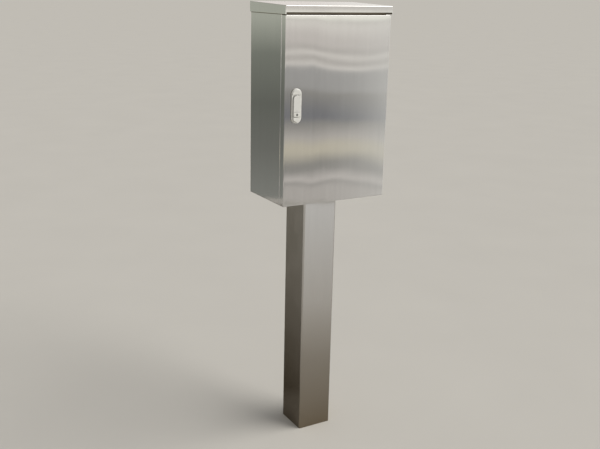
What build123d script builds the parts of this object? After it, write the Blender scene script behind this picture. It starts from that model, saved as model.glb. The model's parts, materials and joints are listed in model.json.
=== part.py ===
from build123d import *
from math import atan2, cos, degrees, sqrt, tan
import os

# Outdoor electrical cabinet of folded stainless sheet on a square post.
# Millimetres. +X is to the right of someone facing the door, +Y goes to the
# back and +Z is up. The origin is the middle of the post where it stands.

# Driving sizes of the post
post_size = 130
post_height = 900
post_wall = 2
post_bend_radius = 5
post_setback = 90            # from the door's face back to the post's face
post_plate_thickness = 4
foot_plate_thickness = 5
weld_gap = 0.1               # round the plates that are welded into the tube
anchor_spacing = 84
anchor_hole_radius = 6.5
foot_cable_hole_radius = 35

# Driving sizes of the cabinet
cabinet_width = 400
cabinet_depth = 240          # from the door's face to the back wall's face
sheet = 1.5
bend_radius = 2.5            # outside of a fold
door_height = 615
door_depth = 25
door_gap = 2.5               # between the door's edge and the body
door_corner_radius = 3
rim_lock = 20                # from the door's outline in to the sealing lip
rim_hinge = 36
rim_ends = 24
lip_corner_radius = 6

# Driving sizes of the rain cap
cap_gap = 8                  # from the door's top up to the front flange
cap_front_flange = 21
cap_side_clearance = 2       # from the door's top up to the side flanges
cap_side_overhang = 3
cap_front_overhang = 4
cap_rise = 7                 # the roof is this much higher at the back
cap_stud_x = 150
cap_stud_inset = 45          # in from the body's front and back

# Seal
gasket_width = 8
gasket_thickness = 8
gasket_edge_radius = 2.5     # of the edges that the lip presses on
seal_gap = 0.3

# Concealed hinges
hinge_axis_from_side = 8.5
hinge_axis_from_face = 7
hinge_inset = 85             # from the door's ends to the middle of a hinge
knuckle_radius = 4
hinge_pin_radius = 2.5
hinge_running_gap = 0.05
frame_knuckle_length = 20
door_knuckle_length = 14
knuckle_end_gap = 0.4
leaf_thickness = 2.5
door_leaf_thickness = 2
hinge_sweep_gap = 1          # from the swinging door edge to the fixed leaf
frame_leaf_foot = 9
door_leaf_depth = 14
door_leaf_margin = 12

# Door rails
rail_width = 24
rail_depth = 12
rail_foot = 8
rail_sheet = 1.25
rail_end_inset = 55
rail_left_from_side = 85     # from the door's edge to a rail's middle
rail_right_from_side = 68
rail_hole_radius = 3
rail_hole_pitch = 36

# Lock, measured from its own middle on the door's face
lock_from_side = 41.5
lock_above_door_bottom = 331.7
lock_length = 112
lock_width = 36.5
lock_gasket_thickness = 0.8
lock_gasket_inset = 0.5      # inside the edge of the base
lock_base_front = 5.2
lock_edge_bevel = 1.8
lock_cup_wall = 1.4
lock_cup_depth = 5.2
crescent_front = 7.4
crescent_gap = 0.4           # over the side of the lever when that is turned level
crescent_bevel = 1.1
spindle_above_middle = 22.5
lever_radius = 13
lever_end_radius = 57.9      # the lever's end is an arc about the spindle
lever_back = 5.6
lever_front = 9.4
lever_edge_radius = 1.1
lever_nose_radius = 13.3     # the lever's top is turned about its pin
lever_step_from_spindle = 40.8
lever_step_depth = 0.9
lever_step_margin = 2
key_from_spindle = 50
key_cover_length = 8.4
key_cover_width = 5.8
key_cover_front = 8.8
key_cover_back = 7.6
lever_to_bowl = 1.6
bowl_floor = 3.2
moat_width = 1.5
moat_depth = 2.5
tilt_pin_from_face = 3
tilt_pin_radius = 1.25
tilt_pin_gap = 0.06
ear_inner = 5
ear_outer = 8
ear_radius = 3
ear_gap = 0.4
lug_radius = 2.8
hub_front = 0.4
hub_gap = 0.3
hub_top = 7
spindle_radius = 5
spindle_running_gap = 0.06
spindle_square = 8
bushing_radius = 8
bushing_length = 29.2        # back end, from the door's face
button_margin = 4.5
button_front = 8.4
button_back = 1.5
button_gap = 0.3
button_edge_radius = 1.5
button_lever_gap = 1.5
button_travel = 2.5
button_stop_gap = 1.5        # left under the button when it is pressed
spring_radius = 3.6
spring_wire_radius = 0.4
spring_turns = 5
spring_bore_radius = 4.4
spring_bore_front = 6.9
cutout_gap = 0.4
clamp_width = 20
clamp_thickness = 2
clamp_foot = 12
clamp_end_gap = 3
clamp_screw_radius = 1.6
clamp_screw_head_radius = 3.6
clamp_screw_head = 2.4
clamp_screw_head_round = 1.2
clamp_screw_depth = 7        # of the holes in the lock base
clamp_screw_from_spindle = (20, 38)
tongue_front_gap = 0.5       # behind the body's front rim
tongue_thickness = 3
tongue_width = 16
tongue_corner = 3.2
tongue_length = 32
tongue_square_gap = 0.05
tongue_screw_radius = 2.5
tongue_washer_radius = 6.5
tongue_washer_thickness = 1.2
tongue_screw_flats = 8
tongue_screw_head = 3.5
tongue_screw_depth = 9       # of the hole in the spindle
screw_end_gap = 1            # from a screw's end to the bottom of its hole

# Inside the cabinet
mounting_plate_width = 320
mounting_plate_height = 540
mounting_plate_thickness = 2
mounting_plate_standoff = 18
mounting_plate_corner = 6
mounting_hole_margin = 15
spacer_radius = 7
earth_stud_y = 20
earth_stud_above_bottom = 40
door_earth_x = 60

# Post fixing in the cabinet's floor
floor_bolt_spacing = 84
cable_hole_radius = 30
grommet_wall = 4
grommet_lip = 4
grommet_lip_height = 2.5
grommet_edge_radius = 1
grommet_gap = 0.1            # from its groove to the edge of the hole

# Metric hardware: thread radius, width over the flats, nut and head height
m8 = {"radius": 4, "flats": 13, "nut": 6.8, "head": 5.3, "washer_radius": 8, "washer": 1.6}
m6 = {"radius": 3, "flats": 10, "nut": 5.2, "washer_radius": 6, "washer": 1.2}
thread_gap = 0.05
bolt_hole_gap = 0.5
stud_past_nut = 4
stud_chamfer = 0.8

os.makedirs("parts", exist_ok=True)


# Places worked out from the driving sizes
half_width = cabinet_width / 2
face_y = -post_size / 2 - post_setback
door_inner_y = face_y + sheet
door_back_y = face_y + door_depth
body_front_y = door_back_y + door_gap
body_back_y = face_y + cabinet_depth
floor_z = post_height
door_top_z = floor_z + door_height
door_middle_z = floor_z + door_height / 2

cap_front_y = face_y - cap_front_overhang
cap_back_y = body_back_y + cap_side_overhang
cap_front_top_z = door_top_z + cap_gap + cap_front_flange
roof_slope = atan2(cap_rise, cap_back_y - cap_front_y)

hinge_x = half_width - hinge_axis_from_side
hinge_y = face_y + hinge_axis_from_face
hinge_heights = {
    "lower": floor_z + hinge_inset,
    "upper": door_top_z - hinge_inset,
}

lip_left = -half_width + rim_lock
lip_right = half_width - rim_hinge
lip_bottom = floor_z + rim_ends
lip_top = door_top_z - rim_ends
gasket_back_y = door_inner_y + gasket_thickness
lip_tip_y = gasket_back_y + seal_gap

lock_place = Pos(-half_width + lock_from_side, face_y, floor_z + lock_above_door_bottom)
bowl_radius = lever_radius + lever_to_bowl
button_centre = -(lock_length - lock_width) / 2
button_radius = lock_width / 2 - button_margin
button_pocket_floor = button_travel + button_stop_gap - button_back
tongue_front = body_front_y + sheet + tongue_front_gap - face_y


def roof_z(y, depth=0):
    """Height of the roof's outside at y, or of a plane this far under it."""
    rise = (y - cap_front_y) * tan(roof_slope)
    return cap_front_top_z + rise - depth / cos(roof_slope)


# Small builders that the pieces share
def across(sketch, y_front, y_back):
    """A sketch drawn in X and Z, filled from y_front to y_back."""
    plane = Plane(origin=(0, y_back, 0), x_dir=(1, 0, 0), z_dir=(0, -1, 0))
    return extrude(plane * sketch, y_back - y_front, dir=(0, -1, 0))


def sideways(sketch, x_left, x_right):
    """A sketch drawn in Y and Z, filled from x_left to x_right."""
    plane = Plane(origin=(x_left, 0, 0), x_dir=(0, 1, 0), z_dir=(1, 0, 0))
    return extrude(plane * sketch, x_right - x_left, dir=(1, 0, 0))


def upward(sketch, z_bottom, z_top):
    """A sketch drawn in X and Y, filled from z_bottom to z_top."""
    return extrude(Plane.XY.offset(z_bottom) * sketch, z_top - z_bottom, dir=(0, 0, 1))


def block(x, y, z):
    """A box from three pairs of limits."""
    size = (x[1] - x[0], y[1] - y[0], z[1] - z[0])
    return Pos(x[0], y[0], z[0]) * Box(*size, align=(Align.MIN, Align.MIN, Align.MIN))


def outline(left, right, bottom, top, corner):
    """A rounded rectangle given by its four sides."""
    middle = Pos((left + right) / 2, (bottom + top) / 2)
    return middle * RectangleRounded(right - left, top - bottom, corner)


def disc(radius, x=0, z=0):
    """A round sketch at a place."""
    return Pos(x, z) * Circle(radius)


def hexagon(flats):
    """A hexagon with this width over its flats."""
    return RegularPolygon(flats / 2, 6, major_radius=False)


def nut(size):
    """A nut standing on the XY plane, washer first."""
    washer = upward(Circle(size["washer_radius"]), 0, size["washer"])
    body = upward(hexagon(size["flats"]), size["washer"], size["washer"] + size["nut"])
    return washer + body - upward(Circle(size["radius"] + thread_gap), 0, size["washer"] + size["nut"])


def stud(size, length):
    """A threaded stud standing on the XY plane, with a chamfered tip."""
    shank = upward(Circle(size["radius"]), 0, length)
    return chamfer(shank.faces().sort_by(Axis.Z)[-1].edges(), stud_chamfer)


def four(x, y):
    """Four corner places of a rectangle of these half sizes."""
    return [(a * x, b * y) for b in (-1, 1) for a in (-1, 1)]


def save(name, *solids):
    """Write one sub-part; several solids stay separate in one file."""
    shape = solids[0] if len(solids) == 1 else Compound(children=list(solids))
    export_step(shape, "parts/" + name + ".step")


# Post: a square tube folded from sheet, with a plate welded in at each end
def welded_plate(z_bottom, z_top, cable_radius, hole_radius, spacing):
    inside = post_size - 2 * post_wall - 2 * weld_gap
    sketch = RectangleRounded(inside, inside, post_bend_radius - post_wall + weld_gap)
    sketch -= Circle(cable_radius)
    for x, y in four(spacing / 2, spacing / 2):
        sketch -= Pos(x, y) * Circle(hole_radius)
    return upward(sketch, z_bottom, z_top)


def make_post():
    inside = post_size - 2 * post_wall
    tube = RectangleRounded(post_size, post_size, post_bend_radius)
    tube -= RectangleRounded(inside, inside, post_bend_radius - post_wall)
    save("post_tube", upward(tube, 0, post_height))
    hole = m8["radius"] + bolt_hole_gap
    plate_bottom = post_height - post_plate_thickness
    top_plate = welded_plate(plate_bottom, post_height, cable_hole_radius, hole, floor_bolt_spacing)
    save("post_top_plate", top_plate)
    foot = welded_plate(0, foot_plate_thickness, foot_cable_hole_radius, anchor_hole_radius, anchor_spacing)
    save("post_foot_plate", foot)


# Body: one welded sheet shell, open at the front behind a rim and a lip
def body_block(inset, radius):
    """The body's outside, or the room inside it, with its folds rounded."""
    front = body_front_y + inset
    back = body_back_y - inset
    bottom = floor_z + inset
    under_roof = sheet + inset
    corners = [
        (front, bottom),
        (back, bottom),
        (back, roof_z(back, under_roof)),
        (front, roof_z(front, under_roof)),
    ]
    profile = Polygon(*corners, align=None)
    shape = sideways(profile, -half_width + inset, half_width - inset)
    return fillet(shape.edges(), radius)


def lip_outline(grow):
    """The opening that the sealing lip runs round, grown or shrunk all round."""
    left = lip_left - grow
    right = lip_right + grow
    return outline(left, right, lip_bottom - grow, lip_top + grow, lip_corner_radius + grow)


def roof_places():
    """Places on the roof where its studs stand, square to the sheet."""
    front = body_front_y + cap_stud_inset
    back = body_back_y - cap_stud_inset
    tilt = Rot(degrees(roof_slope), 0, 0)
    sides = (-cap_stud_x, cap_stud_x)
    return [Pos(x, y, roof_z(y, sheet)) * tilt for x in sides for y in (front, back)]


def make_body():
    shell = body_block(0, bend_radius) - body_block(sheet, bend_radius - sheet)
    shell -= across(lip_outline(0), body_front_y - sheet, body_front_y + 2 * sheet)
    shell += across(lip_outline(0) - lip_outline(-sheet), lip_tip_y, body_front_y + sheet)
    shell -= upward(Circle(cable_hole_radius), floor_z - sheet, floor_z + 2 * sheet)
    bolt_hole = upward(Circle(m8["radius"] + bolt_hole_gap), floor_z - sheet, floor_z + 2 * sheet)
    for x, y in four(floor_bolt_spacing / 2, floor_bolt_spacing / 2):
        shell -= Pos(x, y, 0) * bolt_hole
    stud_hole = upward(Circle(m6["radius"] + bolt_hole_gap), -3 * sheet, sheet)
    for place in roof_places():
        shell -= place * stud_hole
    save("body_shell", shell)


# Rain cap: a sloping sheet folded down on four sides
def cap_block(inset, radius):
    front = cap_front_y + inset
    back = cap_back_y - inset
    bottom = door_top_z + cap_side_clearance
    corners = [
        (front, bottom),
        (back, bottom),
        (back, roof_z(back, inset)),
        (front, roof_z(front, inset)),
    ]
    half = half_width + cap_side_overhang - inset
    shape = sideways(Polygon(*corners, align=None), -half, half)
    low = shape.faces().sort_by(Axis.Z)[0].edges()
    return fillet([e for e in shape.edges() if e not in low], radius)


def make_cap():
    cap = cap_block(0, bend_radius) - cap_block(sheet, bend_radius - sheet)
    flange_bottom = door_top_z + cap_gap
    half = half_width + cap_side_overhang - bend_radius
    cap -= block((-half, half), (cap_front_y - sheet, cap_front_y + 2 * sheet), (door_top_z, flange_bottom))
    save("rain_cap", cap)
    length = sheet + m6["washer"] + m6["nut"] + stud_past_nut
    down = Rot(180, 0, 0)
    save("cap_studs", *[place * down * stud(m6, length) for place in roof_places()])
    under_body = Pos(0, 0, sheet)
    save("cap_nuts", *[place * down * under_body * nut(m6) for place in roof_places()])


# Bolts that hold the cabinet's floor to the post's top plate
def make_floor_fixing():
    bolts = []
    washers = []
    nuts = []
    washer_bottom = floor_z + sheet
    head_bottom = washer_bottom + m8["washer"]
    plate_bottom = post_height - post_plate_thickness
    tip = plate_bottom - m8["washer"] - m8["nut"] - stud_past_nut
    for x, y in four(floor_bolt_spacing / 2, floor_bolt_spacing / 2):
        place = Pos(x, y, 0)
        head = upward(hexagon(m8["flats"]), head_bottom, head_bottom + m8["head"])
        bolts.append(place * (head + upward(Circle(m8["radius"]), tip, head_bottom)))
        ring = Circle(m8["washer_radius"]) - Circle(m8["radius"] + thread_gap)
        washers.append(place * upward(ring, washer_bottom, head_bottom))
        nuts.append(place * Pos(0, 0, plate_bottom) * Rot(180, 0, 0) * nut(m8))
    save("floor_bolts", *bolts)
    save("floor_bolt_washers", *washers)
    save("floor_bolt_nuts", *nuts)


def make_grommet():
    """A rubber ring that covers the edge of the hole through floor and plate."""
    low = post_height - post_plate_thickness
    high = floor_z + sheet
    inner = cable_hole_radius - grommet_wall
    outer = cable_hole_radius + grommet_lip
    lip = grommet_lip_height
    section = outline(inner, outer, low - lip, high + lip, grommet_edge_radius)
    groove = cable_hole_radius - grommet_gap
    section -= Pos(groove + grommet_lip, (low + high) / 2) * Rectangle(2 * grommet_lip, high - low)
    save("cable_grommet", revolve(Plane.XZ * section, Axis.Z))


# Mounting plate on four spaced studs at the back wall
def make_mounting_plate():
    wall_y = body_back_y - sheet
    back = wall_y - mounting_plate_standoff
    front = back - mounting_plate_thickness
    half_x = mounting_plate_width / 2
    half_z = mounting_plate_height / 2
    places = four(half_x - mounting_hole_margin, half_z - mounting_hole_margin)
    sketch = RectangleRounded(mounting_plate_width, mounting_plate_height, mounting_plate_corner)
    for x, z in places:
        sketch -= disc(m8["radius"] + bolt_hole_gap, x, z)
    save("mounting_plate", Pos(0, 0, door_middle_z) * across(sketch, front, back))
    past_plate = m8["washer"] + m8["nut"] + stud_past_nut
    length = mounting_plate_standoff + mounting_plate_thickness + past_plate
    forward = Rot(90, 0, 0)
    spacer = Circle(spacer_radius) - Circle(m8["radius"] + bolt_hole_gap)
    studs = []
    spacers = []
    nuts = []
    for x, z in places:
        at_wall = Pos(x, wall_y, door_middle_z + z) * forward
        studs.append(at_wall * stud(m8, length))
        spacers.append(at_wall * upward(spacer, 0, mounting_plate_standoff))
        nuts.append(Pos(x, front, door_middle_z + z) * forward * nut(m8))
    save("plate_studs", *studs)
    save("plate_spacers", *spacers)
    save("plate_nuts", *nuts)


def make_earth_points():
    """An earth stud on the body's left wall and one on the door."""
    wall = Pos(-half_width + sheet, earth_stud_y, floor_z + earth_stud_above_bottom) * Rot(0, 90, 0)
    length = 2 * (m8["washer"] + m8["nut"]) + stud_past_nut
    save("earth_stud", wall * stud(m8, length))
    save("earth_nuts", wall * nut(m8), wall * Pos(0, 0, m8["washer"] + m8["nut"]) * nut(m8))
    door = Pos(door_earth_x, door_inner_y, floor_z + earth_stud_above_bottom) * Rot(-90, 0, 0)
    length = m6["washer"] + m6["nut"] + stud_past_nut
    save("door_earth_stud", door * stud(m6, length))
    save("door_earth_nut", door * nut(m6))


# Door: a folded pan with a foamed gasket and two perforated rails
def make_door():
    face = outline(-half_width, half_width, floor_z, door_top_z, door_corner_radius)
    pan = across(face, face_y, door_back_y)
    pan = fillet(pan.faces().sort_by(Axis.Y)[0].edges(), bend_radius)
    room = across(
        outline(
            -half_width + sheet,
            half_width - sheet,
            floor_z + sheet,
            door_top_z - sheet,
            door_corner_radius - sheet,
        ),
        door_inner_y,
        door_back_y,
    )
    room = fillet(room.faces().sort_by(Axis.Y)[0].edges(), bend_radius - sheet)
    pan -= room
    pan -= lock_place * across(cup_outline(lock_cup_wall + cutout_gap), -sheet, 2 * sheet)
    save("door_panel", pan)
    half = gasket_width / 2
    ring = lip_outline(half - sheet / 2) - lip_outline(-half - sheet / 2)
    gasket = across(ring, door_inner_y, gasket_back_y)
    save("door_gasket", fillet(gasket.faces().sort_by(Axis.Y)[-1].edges(), gasket_edge_radius))


def make_rails():
    """Top-hat strips welded up the inside of the door, with a row of holes."""
    half = rail_width / 2
    foot = half + rail_foot
    outer = [(-foot, 0), (-foot, rail_sheet), (-half, rail_sheet), (-half, rail_depth)]
    outer += [(half, rail_depth), (half, rail_sheet), (foot, rail_sheet), (foot, 0)]
    inner = half - rail_sheet
    outer += [(inner, 0), (inner, rail_depth - rail_sheet), (-inner, rail_depth - rail_sheet), (-inner, 0)]
    bottom = floor_z + rail_end_inset
    top = door_top_z - rail_end_inset
    rail = upward(Polygon(*outer, align=None), bottom, top)
    count = int((top - bottom) / rail_hole_pitch)
    holes = [
        disc(rail_hole_radius, 0, (bottom + top) / 2 + (i - (count - 1) / 2) * rail_hole_pitch)
        for i in range(count)
    ]
    rail -= across(Sketch() + holes, rail_depth - 2 * rail_sheet, rail_depth + rail_sheet)
    save("door_rail_left", Pos(-half_width + rail_left_from_side, door_inner_y, 0) * rail)
    save("door_rail_right", Pos(half_width - rail_right_from_side, door_inner_y, 0) * rail)


# Hinges: the fixed leaf is a goose-neck that the door's edge swings round
def make_hinges():
    reach = hinge_axis_from_side
    back = door_depth - hinge_axis_from_face
    sweep = sqrt(reach * reach + back * back)
    leg_right = -(sweep + hinge_sweep_gap)
    leg_left = leg_right - leaf_thickness
    rim = back + door_gap
    arm = [
        (0, leaf_thickness - knuckle_radius),
        (leg_right, leaf_thickness - knuckle_radius),
        (leg_right, rim - leaf_thickness),
        (leg_right + frame_leaf_foot, rim - leaf_thickness),
        (leg_right + frame_leaf_foot, rim),
        (leg_left, rim),
        (leg_left, -knuckle_radius),
        (0, -knuckle_radius),
    ]
    half = frame_knuckle_length / 2
    leaf = upward(Polygon(*arm, align=None) + Circle(knuckle_radius), -half, half)
    leaf -= upward(Circle(hinge_pin_radius), -half, half)
    inner = half + knuckle_end_gap
    outer = inner + door_knuckle_length
    pin = upward(Circle(hinge_pin_radius), -outer, outer)
    wall = reach - sheet
    tab = Circle(knuckle_radius) + Pos(wall / 2, knuckle_radius - door_leaf_thickness / 2) * Rectangle(
        wall, door_leaf_thickness
    )
    tab -= Circle(hinge_pin_radius + hinge_running_gap)
    ends = outer + door_leaf_margin
    front = hinge_axis_from_face - sheet - bend_radius
    door_leaf = block((wall - door_leaf_thickness, wall), (-front, door_leaf_depth), (-ends, ends))
    door_leaf += upward(tab, inner, outer)
    door_leaf += upward(tab, -outer, -inner)
    for level, z in hinge_heights.items():
        place = Pos(hinge_x, hinge_y, z)
        save("hinge_" + level + "_frame_leaf", place * leaf)
        save("hinge_" + level + "_door_leaf", place * door_leaf)
        save("hinge_" + level + "_pin", place * pin)


# Lock: a round-ended base, a lever on a turning spindle and a push button.
# Its pieces are drawn about the middle of the base on the door's face.
def stadium(grow):
    return Rot(0, 0, 90) * SlotOverall(lock_length + 2 * grow, lock_width + 2 * grow)


def at_spindle(sketch):
    return Pos(0, spindle_above_middle) * sketch


def lever_outline(grow):
    """A round top and straight sides, cut off by an arc about the spindle."""
    width = 2 * (lever_radius + grow)
    length = lever_end_radius + grow
    sides = Pos(0, -length / 2) * Rectangle(width, length)
    return at_spindle((Circle(lever_radius + grow) + sides) & Circle(length))


def key_outline(grow):
    """The upright slot of the key's hole, low on the lever."""
    slot = Rot(0, 0, 90) * SlotOverall(key_cover_length + 2 * grow, key_cover_width + 2 * grow)
    return Pos(0, spindle_above_middle - key_from_spindle) * slot


def button_outline(grow):
    """The round end of the base, cut off just past the lever's end."""
    clear = lever_end_radius + button_lever_gap - grow
    return disc(button_radius + grow, 0, button_centre) - at_spindle(Circle(clear))


def cup_outline(wall):
    """A slot round the bowl of the spindle and the button's pocket."""
    radius = bowl_radius + wall
    length = spindle_above_middle - button_centre
    middle = Pos(0, (spindle_above_middle + button_centre) / 2)
    return middle * Rot(0, 0, 90) * SlotOverall(length + 2 * radius, 2 * radius)


def make_lock_base():
    ring = stadium(-lock_gasket_inset) - cup_outline(lock_cup_wall + cutout_gap)
    gasket = across(ring, -lock_gasket_thickness, 0)
    save("lock_gasket", lock_place * gasket)
    base = across(stadium(0), -lock_base_front, -lock_gasket_thickness)
    base = fillet(base.faces().sort_by(Axis.Y)[0].edges(), lock_edge_bevel)
    ends = spindle_above_middle + lever_radius + crescent_gap
    above = Pos(0, ends + lock_length / 2) * Rectangle(lock_length, lock_length)
    crescent = across(stadium(-lock_edge_bevel) & above, -crescent_front, -lock_base_front)
    crescent = chamfer(crescent.faces().sort_by(Axis.Y)[0].edges(), crescent_bevel)
    base += crescent
    base += across(cup_outline(lock_cup_wall), -lock_gasket_thickness, lock_cup_depth)
    base += across(at_spindle(Circle(bushing_radius)), lock_cup_depth, bushing_length)
    moat = lever_outline(moat_width) - lever_outline(-moat_width)
    base -= across(moat, -crescent_front, moat_depth - lock_base_front)
    base -= across(at_spindle(Circle(bowl_radius)), -crescent_front, bowl_floor)
    base -= across(at_spindle(Circle(spindle_radius + spindle_running_gap)), 0, bushing_length)
    base -= across(button_outline(button_gap), -crescent_front, button_pocket_floor)
    for drop in clamp_screw_from_spindle:
        pilot = disc(clamp_screw_radius + thread_gap, 0, spindle_above_middle - drop)
        base -= across(pilot, lock_cup_depth - clamp_screw_depth, lock_cup_depth)
    save("lock_base", lock_place * base)


def make_lock_clamp():
    """A hat-shaped strip behind the door that draws the lock base tight."""
    radius = bowl_radius + lock_cup_wall + cutout_gap + clamp_end_gap
    top = spindle_above_middle + radius
    bottom = button_centre - radius
    skin = sheet
    crown = lock_cup_depth
    t = clamp_thickness
    profile = [
        (skin, bottom - clamp_foot),
        (skin, bottom + t),
        (crown, bottom + t),
        (crown, top - t),
        (skin, top - t),
        (skin, top + clamp_foot),
        (skin + t, top + clamp_foot),
        (skin + t, top),
        (crown + t, top),
        (crown + t, bottom),
        (skin + t, bottom),
        (skin + t, bottom - clamp_foot),
    ]
    strip = sideways(Polygon(*profile, align=None), -clamp_width / 2, clamp_width / 2)
    strip -= across(at_spindle(Circle(bushing_radius + bolt_hole_gap)), crown - t, crown + 2 * t)
    screws = []
    for drop in clamp_screw_from_spindle:
        z = spindle_above_middle - drop
        strip -= across(disc(clamp_screw_radius + bolt_hole_gap, 0, z), crown - t, crown + 2 * t)
        tip = crown - clamp_screw_depth + screw_end_gap
        shank = across(disc(clamp_screw_radius, 0, z), tip, crown + t)
        head = across(disc(clamp_screw_head_radius, 0, z), crown + t, crown + t + clamp_screw_head)
        head = fillet(head.faces().sort_by(Axis.Y)[-1].edges(), clamp_screw_head_round)
        screws.append(lock_place * (shank + head))
    save("lock_clamp", lock_place * strip)
    save("lock_clamp_screws", *screws)


def make_spindle():
    below_top = Pos(0, hub_top - lever_radius) * Rectangle(2 * lever_radius, 2 * lever_radius)
    hub = Circle(lever_radius) & below_top
    spindle = across(at_spindle(hub), hub_front, bowl_floor - hub_gap)
    pin_centre = Pos(-tilt_pin_from_face, spindle_above_middle)
    stem = Pos((hub_front - tilt_pin_from_face) / 2, spindle_above_middle)
    ear = pin_centre * Circle(ear_radius) + stem * Rectangle(hub_front + tilt_pin_from_face, 2 * ear_radius)
    ear -= pin_centre * Circle(tilt_pin_radius)
    spindle += sideways(ear, ear_inner, ear_outer)
    spindle += sideways(ear, -ear_outer, -ear_inner)
    shoulder = tongue_front
    square_end = tongue_front + tongue_thickness
    spindle += across(at_spindle(Circle(spindle_radius)), bowl_floor - hub_gap, shoulder)
    square = Rectangle(spindle_square, spindle_square)
    spindle += across(at_spindle(square & Circle(spindle_radius)), shoulder, square_end)
    spindle -= across(at_spindle(Circle(tongue_screw_radius)), square_end - tongue_screw_depth, square_end)
    save("lock_spindle", lock_place * spindle)
    pin = sideways(pin_centre * Circle(tilt_pin_radius), -ear_outer, ear_outer)
    save("lever_pin", lock_place * pin)


def make_tongue():
    """The tongue turns behind the body's front rim; here it is turned clear."""
    round_end = Circle(tongue_width / 2)
    arm = Pos(0, tongue_length / 2) * RectangleRounded(tongue_width, tongue_length, tongue_corner)
    arm += Pos(0, tongue_width / 2) * Rectangle(tongue_width, tongue_width)
    hole_radius = spindle_radius + tongue_square_gap
    hole_square = spindle_square + 2 * tongue_square_gap
    hole = Rectangle(hole_square, hole_square) & Circle(hole_radius)
    back = tongue_front + tongue_thickness
    tongue = across(at_spindle(round_end + arm - hole), tongue_front, back)
    save("lock_tongue", lock_place * tongue)
    head_front = back + tongue_washer_thickness
    ring = Circle(tongue_washer_radius) - Circle(tongue_screw_radius + thread_gap)
    save("tongue_washer", lock_place * across(at_spindle(ring), back, head_front))
    tip = back - tongue_screw_depth + screw_end_gap
    screw = across(at_spindle(Circle(tongue_screw_radius)), tip, head_front)
    screw += across(at_spindle(hexagon(tongue_screw_flats)), head_front, head_front + tongue_screw_head)
    save("tongue_screw", lock_place * screw)


def make_lever():
    lever = across(lever_outline(0), -lever_front, -lever_back)
    lever = fillet(lever.faces().sort_by(Axis.Y)[0].edges(), lever_edge_radius)
    pin_centre = Pos(-tilt_pin_from_face, spindle_above_middle)
    width = (-lever_radius, lever_radius)
    top = (spindle_above_middle, spindle_above_middle + lever_radius)
    turned = sideways(pin_centre * Circle(lever_nose_radius), *width)
    lever -= block(width, (-lever_front, 0), top) - turned
    step_top = spindle_above_middle - lever_step_from_spindle
    step_half = lever_radius - lever_step_margin
    step = Pos(0, step_top - lever_end_radius / 2) * Rectangle(2 * step_half, lever_end_radius)
    step &= lever_outline(-lever_step_margin)
    lever -= across(step, -lever_front, -lever_front + lever_step_depth)
    lever -= across(key_outline(thread_gap), -lever_front, -key_cover_back)
    lug_half = ear_inner - ear_gap
    stem = Pos(-(tilt_pin_from_face + lever_back) / 2, spindle_above_middle)
    stem *= Rectangle(lever_back - tilt_pin_from_face, 2 * lug_radius)
    lug = pin_centre * Circle(lug_radius) + stem
    lever += sideways(lug, -lug_half, lug_half)
    pocket = pin_centre * Circle(ear_radius + ear_gap)
    for side in (-1, 1):
        near = side * (ear_inner - ear_gap)
        far = side * (ear_outer + ear_gap)
        lever -= sideways(pocket, min(near, far), max(near, far))
    lever -= sideways(pin_centre * Circle(tilt_pin_radius + tilt_pin_gap), -lug_half, lug_half)
    save("lock_lever", lock_place * lever)
    save("key_cover", lock_place * across(key_outline(0), -key_cover_front, -key_cover_back))


def make_button():
    button = across(button_outline(0), -button_front, -button_back)
    button = fillet(button.faces().sort_by(Axis.Y)[0].edges(), button_edge_radius)
    top = spindle_above_middle - lever_end_radius - button_lever_gap
    bore_z = (top + button_centre - button_radius) / 2
    button -= across(disc(spring_bore_radius, 0, bore_z), -spring_bore_front, -button_back)
    save("lock_button", lock_place * button)
    length = spring_bore_front + button_pocket_floor - 2 * spring_wire_radius
    coil = Helix(pitch=length / spring_turns, height=length, radius=spring_radius)
    section = Plane(origin=coil @ 0, z_dir=coil % 0) * Circle(spring_wire_radius)
    spring = sweep(section, path=coil, is_frenet=True)
    front = spring_wire_radius - spring_bore_front
    save("button_spring", lock_place * Pos(0, front, bore_z) * Rot(-90, 0, 0) * spring)


make_post()
make_body()
make_cap()
make_floor_fixing()
make_grommet()
make_mounting_plate()
make_earth_points()
make_door()
make_rails()
make_hinges()
make_lock_base()
make_lock_clamp()
make_spindle()
make_tongue()
make_lever()
make_button()
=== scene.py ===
import json
from math import atan2, cos, pi, radians, sin, sqrt

import bmesh
import bpy
from bpy.props import FloatProperty, FloatVectorProperty, IntProperty, PointerProperty
from mathutils import Matrix, Vector


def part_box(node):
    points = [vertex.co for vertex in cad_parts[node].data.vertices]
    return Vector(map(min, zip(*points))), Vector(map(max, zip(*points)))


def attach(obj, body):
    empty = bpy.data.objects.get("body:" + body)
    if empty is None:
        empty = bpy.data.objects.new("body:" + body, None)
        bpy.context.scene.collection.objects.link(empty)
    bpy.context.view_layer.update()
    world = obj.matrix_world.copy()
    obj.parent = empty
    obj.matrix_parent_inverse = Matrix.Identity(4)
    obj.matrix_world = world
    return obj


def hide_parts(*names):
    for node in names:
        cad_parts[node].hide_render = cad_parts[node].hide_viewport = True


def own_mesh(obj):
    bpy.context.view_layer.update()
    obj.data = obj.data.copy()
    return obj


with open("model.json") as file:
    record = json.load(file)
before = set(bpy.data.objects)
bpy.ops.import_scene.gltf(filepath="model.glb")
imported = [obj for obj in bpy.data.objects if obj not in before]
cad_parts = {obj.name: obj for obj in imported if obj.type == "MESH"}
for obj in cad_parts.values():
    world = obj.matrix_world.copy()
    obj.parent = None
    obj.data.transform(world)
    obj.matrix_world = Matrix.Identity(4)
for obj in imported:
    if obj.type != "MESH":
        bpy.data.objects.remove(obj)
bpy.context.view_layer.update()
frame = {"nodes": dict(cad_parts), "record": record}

bl_info = {
    "name": "Electrical cabinet on a post",
    "version": (1, 0, 0),
    "blender": (4, 5, 0),
    "location": "3D View > Sidebar > Cabinet",
    "description": "Finishes, seals, fasteners and welds of a stainless cabinet, and the studio it stands in",
    "category": "Object",
}

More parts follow.
